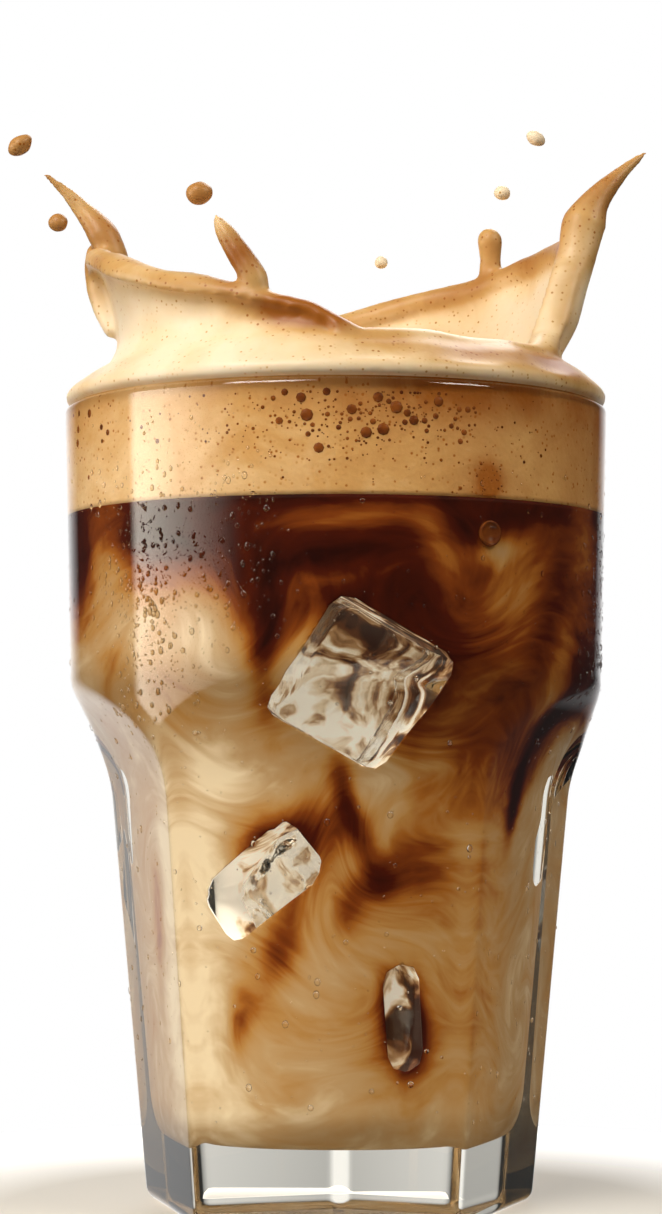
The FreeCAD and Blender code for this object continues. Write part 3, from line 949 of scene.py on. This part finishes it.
def add_ring(bm, foam, steps):
    """Adds the splash's sheet: one outline carried round the axis, closed both ways."""
    count = len(splash_section(foam, 0.0))
    made = bmesh.ops.create_grid(bm, x_segments=count, y_segments=steps, size=0.5)
    for vert in made["verts"]:
        along, turn = round((vert.co.x + 0.5) * count), (vert.co.y + 0.5) * 2 * math.pi
        section = splash_section(foam, turn % (2 * math.pi))
        vert.co = around(turn, *section[along % count])
    bmesh.ops.remove_doubles(bm, verts=bm.verts, dist=1e-6)


def add_arm(bm, path, radii, sides=14):
    """Adds a closed limb with round sections along a path and a rounded end."""
    tip, ahead = path[-1], (path[-1] - path[-2]).normalized()
    caps = [math.radians(angle) for angle in (30, 55, 75)]
    path = path + [tip + ahead * radii[-1] * math.sin(angle) for angle in caps]
    radii = radii + [radii[-1] * math.cos(angle) for angle in caps]
    made = bmesh.ops.create_circle(bm, cap_ends=True, radius=1, segments=sides)
    face = made["verts"][0].link_faces[0]
    start = list(face.edges)
    previous, facing = Matrix.Identity(4), Vector((0, 0, 1))
    turned = Matrix.Identity(4)
    for n, (point, radius) in enumerate(zip(path, radii)):
        ahead = (path[min(n + 1, len(path) - 1)] - path[max(n - 1, 0)]).normalized()
        turned = facing.rotation_difference(ahead).to_matrix().to_4x4() @ turned
        facing = ahead
        target = Matrix.Translation(point) @ turned @ Matrix.Diagonal((radius, radius, radius, 1))
        if n:
            face = bmesh.ops.extrude_discrete_faces(bm, faces=[face])["faces"][0]
        bmesh.ops.transform(bm, matrix=target @ previous.inverted(), verts=list(face.verts))
        previous = target
    bmesh.ops.holes_fill(bm, edges=start, sides=sides)


def smooth_path(points, count):
    """Points of a smooth line through the given ones."""
    out = []
    for n in range(count):
        place = n / (count - 1) * (len(points) - 1)
        i = min(int(place), len(points) - 2)
        t = place - i
        p0, p1 = points[max(i - 1, 0)], points[i]
        p2, p3 = points[i + 1], points[min(i + 2, len(points) - 1)]
        out.append(
            0.5
            * (
                (2 * p1)
                + (p2 - p0) * t
                + (2 * p0 - 5 * p1 + 4 * p2 - p3) * t**2
                + (3 * p1 - p0 - 3 * p2 + p3) * t**3
            )
        )
    return out


def smooth_values(values, count):
    """Numbers eased evenly through the given ones."""
    places = np.linspace(0, len(values) - 1, count)
    return [float(v) for v in np.interp(places, range(len(values)), values)]


# Limbs of the splash: points as (turn from the front in degrees, radius, height) and the
# half thickness at each, in millimetres.
LIMBS = [
    (
        [
            (-94, 35.5, 148),
            (-95, 36.8, 154),
            (-95, 39.2, 159.8),
            (-95, 42.6, 163.8),
            (-94, 45.4, 167),
            (-93.5, 48.6, 170),
        ],
        [1.4, 2.2, 2.7, 1.6, 0.95, 0.45],
    ),
    (
        [
            (-93, 36.5, 143),
            (-95, 38.2, 147),
            (-96, 39.8, 151),
            (-97, 41.0, 154.5),
            (-98, 41.6, 157.3),
        ],
        [1.6, 2.1, 2.3, 1.8, 0.9],
    ),
    (
        [
            (-19, 34.5, 141),
            (-21, 35.4, 146),
            (-25, 36, 150.3),
            (-28, 36.3, 153.5),
            (-30.5, 36.6, 156),
        ],
        [0.8, 2.2, 2.0, 1.6, 0.6],
    ),
    (
        [
            (138, 38.6, 150),
            (137, 39.2, 156),
            (136.5, 39, 160),
            (136, 38.6, 163),
        ],
        [0.8, 2.1, 1.8, 2.3],
    ),
    (
        [
            (78, 34, 138),
            (82, 37, 144.5),
            (86, 38.8, 151),
            (88, 40, 156),
            (89, 41, 161),
            (90, 43, 165),
            (91.5, 47.0, 169.2),
            (92.5, 51.4, 173.2),
        ],
        [2.8, 3.3, 3.2, 3.3, 3.7, 2.4, 1.4, 0.5],
    ),
]


def add_limbs(bm):
    """Adds the splash's horns and lobes."""
    for points, radii in LIMBS:
        path = [around(math.radians(t), r * MM, z * MM) for t, r, z in points]
        count = 6 * len(points)
        add_arm(bm, smooth_path(path, count), [r * MM for r in smooth_values(radii, count)])


def add_stain_and_painted_light(piece, amount):
    """Stores how stained the foam is at each point, from a function of its place; some of it is
    painted highlight and painted shade.
    """
    stained = piece.data.attributes.new("stain_and_painted_light", "FLOAT", "POINT")
    stained.data.foreach_set("value", [amount(vert.co) for vert in piece.data.vertices])


# Stained places of the splash, and one of painted shade: turn from the front, height, half
# width and half height in millimetres, and how much darker than the foam around it the place is.
SPLASH_STAINS_AND_PAINTED_SHADE = [
    # painted shade: the dark band in the fold under the rolled edge at the front
    (-7, 141.0, 10, 3.6, 0.85),
    (-24, 150, 5, 5, 0.60),
    (-95, 160, 6, 4, 0.45),
    (-52, 138, 5, 6, 0.20),
    (20, 134, 30, 2.2, 0.16),
    (-96, 150, 4, 4, 0.25),
    (158, 143, 14, 3.5, 0.50),
    (92, 160, 4, 4, 0.45),
    (84, 141, 4, 5, 0.30),
    (62, 134, 14, 4, 0.34),
    (137, 158, 3, 4, 0.15),
    (104, 148, 18, 8, -0.50),
    (-30, 134, 22, 4, -0.12),
]


def splash_stain_and_painted_shade(point):
    """Stain of the splash: more on its horns, along its rolled edge and at listed places, less on
    the swell over the rim; the dark band under the rolled edge at the front is painted shade.
    """
    turn, out = turn_of(point), math.hypot(point.x, point.y)
    lift = max((point.z - RIM) / (FOAM_HIGH.z - RIM) - 0.35, 0.0)
    rope = math.exp(-(((RIM + splash_top(turn) - 2 * MM - point.z) / (2.8 * MM)) ** 2))
    rope *= min(max((out - RIM_RADIUS + 18 * MM) / (5 * MM), 0.0), 1.0)
    total = 0.34 * rope + 0.9 * lift + 0.06 * math.sin(turn) - 0.06
    total += 0.2 * noise.noise(point / (9 * MM))
    for middle, up, wide, high, amount in SPLASH_STAINS_AND_PAINTED_SHADE:
        apart = (turn - math.radians(middle) + math.pi) % (2 * math.pi) - math.pi
        side, rise = apart * out / (wide * MM), (point.z - up * MM) / (high * MM)
        total += amount * math.exp(-(side**2) - rise**2)
    return total


def head_stain_and_painted_highlight(point):
    """Stain of the foam behind the glass: a drained band under the rim, more to the right, darker
    towards the right overall, and paler at the left, where it is a painted highlight.
    """
    turn = turn_of(point)
    under_rim = math.exp(-(((RIM - 1.5 * MM - point.z) / (5 * MM)) ** 2))
    side = math.sin(turn - 0.25)
    patch = math.exp(-(((turn - 0.45) / 0.5) ** 2))
    spot = math.exp(-(((turn - 0.58) / 0.06) ** 2) - ((point.z - 115 * MM) / (3 * MM)) ** 2)
    # paler at the left: a painted highlight where the window lamp's reflection lies on the glass
    pale = math.exp(-(((turn + 0.75) / 0.22) ** 2))
    return 0.36 + 0.12 * side - 0.14 * pale + 0.28 * under_rim * (0.5 + 0.8 * patch) + 0.5 * spot


class LATTE_OT_head(bpy.types.Operator):
    """Make the foam head inside the band"""

    bl_idname = "latte.head"
    bl_label = "Foam head"

    def execute(self, context):
        tumbler, foam = context.scene.latte_tumbler, context.scene.latte_foam
        reach = context.scene.latte_drink.reach
        lip = tumbler.lip_round
        low = float(wall_radius(tumbler, FOAM_LINE, reach))
        high = float(wall_radius(tumbler, RIM - lip, reach))
        over = RIM_RADIUS - tumbler.wall / 2
        outline = even_points([(0, FOAM_LINE), (low, FOAM_LINE)], 6 * MM)
        outline += even_points([(low, FOAM_LINE), (high, RIM - lip)], 0.8 * MM)[1:]
        outline += arc_points((high + lip, RIM - lip), lip - reach, math.pi, math.pi / 2, 5)[1:]
        outline += [(over, RIM + 2 * MM), (0, RIM + 2 * MM)]
        bm = bmesh.new()
        lathe(bm, outline, 300)
        piece = finish_piece(bm, "foam_head", [milk_foam(foam, "milk_foam", False, 0.1)])
        add_stain_and_painted_light(piece, head_stain_and_painted_highlight)
        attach(piece, BODY)
        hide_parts("foam")
        return {"FINISHED"}


class LATTE_OT_splash(bpy.types.Operator):
    """Make the foam over the rim, its crown and its horns"""

    bl_idname = "latte.splash"
    bl_label = "Splash"

    def execute(self, context):
        tumbler, foam = context.scene.latte_tumbler, context.scene.latte_foam
        bm = bmesh.new()
        lathe(bm, self.swell(tumbler), 240)
        add_ring(bm, foam, 240)
        add_limbs(bm)
        for vert in bm.verts:
            if vert.co.z > RIM + 3 * MM:
                vert.co += noise.noise_vector(vert.co / (11 * MM)) * 0.7 * MM
        piece = finish_piece(bm, "splash", [milk_foam(foam, "wet_milk_foam", True, 0.12)])
        blend = piece.modifiers.new("blend", "REMESH")
        blend.mode = "VOXEL"
        blend.voxel_size = foam.voxel
        blend.use_smooth_shade = True
        even = piece.modifiers.new("even", "SMOOTH")
        even.factor = 0.6
        even.iterations = 4
        apply_modifiers(piece)
        add_stain_and_painted_light(piece, splash_stain_and_painted_shade)
        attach(piece, BODY)
        return {"FINISHED"}

    def swell(self, tumbler):
        """Outline of the foam that rests on the rim and bulges over it, with the pool on top."""
        middle = RIM_RADIUS - tumbler.wall / 2
        points = [(0, RIM + 1 * MM), (middle, RIM + 0.2 * MM)]
        points += [(RIM_RADIUS - 0.4 * MM, RIM + 0.5 * MM)]
        points += arc_points((RIM_RADIUS - 1.5 * MM, RIM + 1.6 * MM), 1.4 * MM, -0.7, 0.75, 6)
        points += [
            (RIM_RADIUS - 2.2 * MM, RIM + 3.9 * MM),
            (RIM_RADIUS - 4.2 * MM, RIM + 5.6 * MM),
            (RIM_RADIUS - 6.6 * MM, RIM + 7.0 * MM),
            (RIM_RADIUS - 9.0 * MM, RIM + 7.9 * MM),
            (RIM_RADIUS - 14 * MM, RIM + 7.6 * MM),
        ]
        return even_points(points + [(0, RIM + 6.8 * MM)], 1.0 * MM)


class LATTE_OT_air_bubble(bpy.types.Operator):
    """Make the large air bubble in the coffee under the foam"""

    bl_idname = "latte.air_bubble"
    bl_label = "Air bubble"

    def execute(self, context):
        tumbler, foam = context.scene.latte_tumbler, context.scene.latte_foam
        turn, up, radius = math.radians(33.5), 107 * MM, 1.95 * MM
        out = float(wall_radius(tumbler, up, 0.15 * MM))
        placed = Matrix.Translation(around(turn, out, up)) @ Matrix.Rotation(turn, 4, "Z")
        turned = placed @ Matrix.Rotation(math.pi / 2, 4, "X")
        bm = bmesh.new()
        # a hollow that shows dark, with a thin collar round it
        hollow = [(0, 0.1), (0.55, 0.12), (0.78, 0.3)]
        collar = [(0.92, 0.42), (1, 0.3), (1.02, 0), (0, -0.6)]
        lathe(bm, [(r * radius, h * radius) for r, h in hollow + collar], 36)
        bmesh.ops.transform(bm, matrix=turned, verts=bm.verts)
        piece = finish_piece(bm, "air_bubble", [bubble_film(foam, "coffee_air_bubble")])
        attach(piece, BODY)
        return {"FINISHED"}


# Crowds of bubbles in the foam, dense in front under the rim and sparse all round: turn from
# the front and its spread in degrees, height and its spread, number, and the least and the
# largest radius in millimetres.
BUBBLE_CROWDS = [
    (1, 9, RIM - 6.2 * MM, 2.6 * MM, 60, 0.2, 1.0),
    (20, 7, RIM - 4.5 * MM, 2 * MM, 28, 0.2, 1.0),
    (4, 17, RIM - 6.4 * MM, 3.2 * MM, 330, 0.11, 0.3),
    (33, 4, 115 * MM, 1.8 * MM, 46, 0.1, 0.3),
]


class LATTE_OT_bubbles(bpy.types.Operator):
    """Make the open bubbles that show in the foam against the glass"""

    bl_idname = "latte.bubbles"
    bl_label = "Foam bubbles"

    def execute(self, context):
        tumbler, foam = context.scene.latte_tumbler, context.scene.latte_foam
        chance = random.Random(11)
        placed = []
        sparse = [
            (chance.uniform(60, 300), 22, RIM - 6 * MM, 3.6 * MM, 40, 0.12, 0.7) for n in range(7)
        ]
        for turn, spread, up, tall, count, least, most in BUBBLE_CROWDS + sparse:
            for n in range(count):
                place = math.radians(chance.gauss(turn, spread))
                height = max(min(chance.gauss(up, tall), RIM - 2.2 * MM), FOAM_LINE + 0.5 * MM)
                radius = (least + (most - least) * chance.random() ** 3) * MM
                if all(
                    math.hypot((place - p) * RIM_RADIUS, height - h) > radius + r
                    for p, h, r in placed
                ):
                    placed.append((place, height, radius))
        bm = scatter(placed, lambda bm, bubble: self.add_bubble(bm, tumbler, *bubble))
        piece = finish_piece(bm, "foam_bubbles", [bubble_film(foam)])
        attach(piece, BODY)
        return {"FINISHED"}

    def add_bubble(self, bm, tumbler, turn, up, radius):
        """Adds one bubble, flat against the wall."""
        out = float(wall_radius(tumbler, up, 0.15 * MM))
        placed = Matrix.Translation(around(turn, out, up)) @ Matrix.Rotation(turn, 4, "Z")
        flat = Matrix.Diagonal((radius, 0.3 * radius, radius, 1))
        sides = 16 if radius > 0.4 * MM else 8
        bmesh.ops.create_uvsphere(
            bm, u_segments=sides, v_segments=4, radius=1, matrix=placed @ flat
        )


# ---------------------------------------------------------------- drops

# Where dew gathers: share of the drops up to and with this patch, turn from the front and its
# spread in degrees, and height and its spread in millimetres. The rest clings all round.
DEW_PATCHES = [
    (0.3, -42, 9, 98, 12),
    (0.42, 72, 7, 96, 10),
    (0.5, -20, 5, 104, 8),
]


class LATTE_OT_dew(bpy.types.Operator):
    """Make the water drops that cling to the glass"""

    bl_idname = "latte.dew"
    bl_label = "Dew"

    def execute(self, context):
        tumbler, dew = context.scene.latte_tumbler, context.scene.latte_dew
        chance = random.Random(23)
        placed = []
        for n in range(dew.drops):
            size = dew.smallest + (dew.largest - dew.smallest) * chance.random() ** 5
            placed.append((*self.drop_place(chance), size, 1 + 0.5 * chance.random() ** 2))
        bm = scatter(placed, lambda bm, drop: self.add_drop(bm, tumbler, *drop))
        piece = finish_piece(bm, "dew", [water_drop()])
        piece.visible_shadow = False
        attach(piece, BODY)
        return {"FINISHED"}

    def drop_place(self, chance):
        """Where one drop clings: thick on the left and the right edge, thin elsewhere."""
        kind = chance.random()
        for share, turn, spread, up, tall in DEW_PATCHES:
            if kind < share:
                return math.radians(chance.gauss(turn, spread)), chance.gauss(up, tall) * MM
        return math.radians(chance.uniform(-180, 180)), chance.uniform(16, 118) * MM

    def add_drop(self, bm, tumbler, turn, up, size, stretch):
        """Adds one drop, under half as thick as wide, sunk into the glass by half."""
        up = min(max(up, 14 * MM), RIM - 5 * MM)
        place = around(turn, tumbler_radius(tumbler, turn, up), up)
        side = around(turn + 0.02, tumbler_radius(tumbler, turn + 0.02, up), up) - place
        rise = around(turn, tumbler_radius(tumbler, turn, up + 0.5 * MM), up + 0.5 * MM) - place
        outward = side.cross(rise).normalized()
        turned = outward.to_track_quat("Z", "Y").to_matrix().to_4x4()
        flat = Matrix.Diagonal((size, size * stretch, size * 0.42, 1))
        placed = Matrix.Translation(place) @ turned @ flat
        bmesh.ops.create_uvsphere(bm, u_segments=8, v_segments=4, radius=1, matrix=placed)


# Drops in flight: place in millimetres, half width and half height, and lean in degrees.
FLYING_DROPS = [
    ((-52.2, 0, 174.2), 2.2, 1.5, 40),
    ((-45.5, -4, 160.5), 1.6, 1.5, 10),
    ((-22.3, -6, 165.0), 2.2, 1.9, 8),
    ((33.3, 4, 176.2), 1.7, 1.2, -30),
    ((27.6, 2, 166.6), 1.35, 1.25, 10),
    ((7.4, -6, 153.6), 1.0, 1.05, 0),
]


class LATTE_OT_drops(bpy.types.Operator):
    """Make the drops in flight round the splash"""

    bl_idname = "latte.drops"
    bl_label = "Flying drops"

    def execute(self, context):
        foam = context.scene.latte_foam
        bm = bmesh.new()
        for place, wide, high, lean in FLYING_DROPS:
            moved = Matrix.Translation(Vector(place) * MM)
            turned = Matrix.Rotation(-math.radians(lean), 4, "Y")
            sized = Matrix.Diagonal((wide * MM, wide * 0.85 * MM, high * MM, 1))
            made = bmesh.ops.create_icosphere(
                bm, subdivisions=4, radius=1, matrix=moved @ turned @ sized
            )
            for vert in made["verts"]:
                vert.co += noise.noise_vector(vert.co / (1.8 * MM)) * 0.16 * MM
        piece = finish_piece(bm, "flying_drops", [milk_foam(foam, "milk_coffee_drop", True, 0.0)])
        add_stain_and_painted_light(piece, lambda point: 0.55 if point.x < 0 else -0.1)
        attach(piece, BODY)
        return {"FINISHED"}


# ---------------------------------------------------------------- stage


def add_light(name, place, aim, size, watts, code="#ffffff", near=0.78):
    """Adds a rectangular softbox that looks at a point and fades to its edges, first at near."""
    lamp = bpy.data.lights.new(name, "AREA")
    lamp.shape = "RECTANGLE"
    lamp.size, lamp.size_y = size
    lamp.energy = watts
    lamp.color = linear(code)[:3]
    lamp.use_nodes = True
    tree = lamp.node_tree
    across = add(tree, "ShaderNodeNewGeometry").outputs["Parametric"]
    parts = add(tree, "ShaderNodeSeparateXYZ", {0: across})
    # makes up for the light that the fades take
    total = 1.6
    for part, edge, full in (("X", 0, 0.12), ("X", 1, near), ("Y", 0, 0.22), ("Y", 1, 0.78)):
        fade = add(
            tree,
            "ShaderNodeMapRange",
            {"Value": parts.outputs[part], "From Min": edge, "From Max": full},
            interpolation_type="SMOOTHSTEP",
        )
        product = {0: fade.outputs["Result"], 1: total}
        total = add(tree, "ShaderNodeMath", product, operation="MULTIPLY").outputs[0]
    tree.links.new(total, tree.nodes["Emission"].inputs["Strength"])
    made = bpy.data.objects.new(name, lamp)
    made.location = place
    made.rotation_euler = (Vector(aim) - Vector(place)).to_track_quat("-Z", "Y").to_euler()
    made.visible_transmission = False
    bpy.context.scene.collection.objects.link(made)


class LATTE_OT_stage(bpy.types.Operator):
    """Make the floor, the studio light and the camera"""

    bl_idname = "latte.stage"
    bl_label = "Stage"

    def execute(self, context):
        stage = context.scene.latte_stage
        bm = bmesh.new()
        bmesh.ops.create_circle(bm, cap_ends=True, radius=stage.floor, segments=96)
        floor = finish_piece(bm, "floor", [self.laminate(stage)], smooth=False)
        floor.visible_glossy = False
        self.sky(context)
        add_light("window", (-0.64, -0.29, 0.22), (0, 0, 0.1), (0.80, 0.46), 5.4, "#fff5e6", 0.1)
        add_light("key", (-0.28, -0.42, 0.62), (0, 0, 0.1), (0.4, 0.4), 4.2, "#fffaf0")
        add_light("fill", (0.50, -0.30, 0.55), (0, 0, 0.1), (0.3, 0.3), 2.1, "#fff5e4")
        add_light("back", (0.15, 0.50, 0.60), (0, 0, 0.1), (0.4, 0.4), 1.8)
        self.camera(context, stage)
        context.scene.view_settings.view_transform = "Standard"
        return {"FINISHED"}

    def laminate(self, stage):
        """Matt white laminate, lit to the white of the studio towards its edge."""
        material, tree, shader = new_material("matt_white_laminate")
        shader.inputs["Base Color"].default_value = linear("#d6d2ca")
        shader.inputs["Roughness"].default_value = 0.6
        shader.inputs["Emission Color"].default_value = linear("#ffffff")
        place = add(tree, "ShaderNodeTexCoord").outputs["Object"]
        away = add(tree, "ShaderNodeVectorMath", {0: place}, operation="LENGTH").outputs["Value"]
        even = add(
            tree,
            "ShaderNodeMapRange",
            {"Value": away, "From Min": stage.white_from, "From Max": stage.white_to},
        ).outputs["Result"]
        tree.links.new(even, shader.inputs["Emission Strength"])
        return material

    def sky(self, context):
        """White studio walls; what the glass gathers is lit from behind and dark elsewhere."""
        world = bpy.data.worlds.new("studio")
        world.use_nodes = True
        tree = world.node_tree
        back = tree.nodes["Background"]
        toward = add(tree, "ShaderNodeTexCoord").outputs["Generated"]
        side = add(
            tree,
            "ShaderNodeVectorMath",
            {0: toward, 1: (-0.04, 0.99, 0.1)},
            operation="DOT_PRODUCT",
        ).outputs["Value"]
        bright = add(
            tree,
            "ShaderNodeMapRange",
            {"Value": side, "From Min": 0.82, "From Max": 0.955, "To Min": 0.03, "To Max": 1.12},
        ).outputs["Result"]
        seen = add(tree, "ShaderNodeLightPath").outputs["Is Camera Ray"]
        shade = add(
            tree,
            "ShaderNodeMix",
            {0: seen, 6: bright, 7: linear("#ffffff")},
            data_type="RGBA",
        )
        tree.links.new(shade.outputs[2], back.inputs["Color"])
        back.inputs["Strength"].default_value = 1.0
        context.scene.world = world

    def camera(self, context, stage):
        """The camera, aimed at the middle of the picture."""
        lens = bpy.data.cameras.new("camera")
        lens.lens = stage.lens
        lens.sensor_width = 36
        eye = bpy.data.objects.new("camera", lens)
        place = Vector((stage.aside, -stage.distance, stage.camera_height))
        aim = Vector((stage.aside, 0, stage.aim_height))
        eye.location = place
        eye.rotation_euler = (aim - place).to_track_quat("-Z", "Y").to_euler()
        context.scene.collection.objects.link(eye)
        context.scene.camera = eye


class LATTE_PT_panel(bpy.types.Panel):
    """Buttons that build the iced latte"""

    bl_label = "Iced Latte"
    bl_idname = "LATTE_PT_panel"
    bl_space_type = "VIEW_3D"
    bl_region_type = "UI"
    bl_category = "Latte"

    def draw(self, context):
        for operator in OPERATORS:
            self.layout.operator(operator.bl_idname)


SETTINGS = {
    "latte_tumbler": TumblerSettings,
    "latte_drink": DrinkSettings,
    "latte_ice": IceSettings,
    "latte_foam": FoamSettings,
    "latte_dew": DewSettings,
    "latte_stage": StageSettings,
}
OPERATORS = (
    LATTE_OT_stage,
    LATTE_OT_tumbler,
    LATTE_OT_drink,
    LATTE_OT_ice,
    LATTE_OT_head,
    LATTE_OT_splash,
    LATTE_OT_bubbles,
    LATTE_OT_air_bubble,
    LATTE_OT_dew,
    LATTE_OT_drops,
)


def register():
    noise.seed_set(NOISE_SEED)
    for name, group in SETTINGS.items():
        bpy.utils.register_class(group)
        setattr(bpy.types.Scene, name, bpy.props.PointerProperty(type=group))
    for made in (*OPERATORS, LATTE_PT_panel):
        bpy.utils.register_class(made)


def unregister():
    for made in reversed((*OPERATORS, LATTE_PT_panel)):
        bpy.utils.unregister_class(made)
    for name, group in reversed(SETTINGS.items()):
        delattr(bpy.types.Scene, name)
        bpy.utils.unregister_class(group)


def main():
    register()
    for operator in OPERATORS:
        group, name = operator.bl_idname.split(".")
        getattr(getattr(bpy.ops, group), name)()


if __name__ == "__main__":
    main()
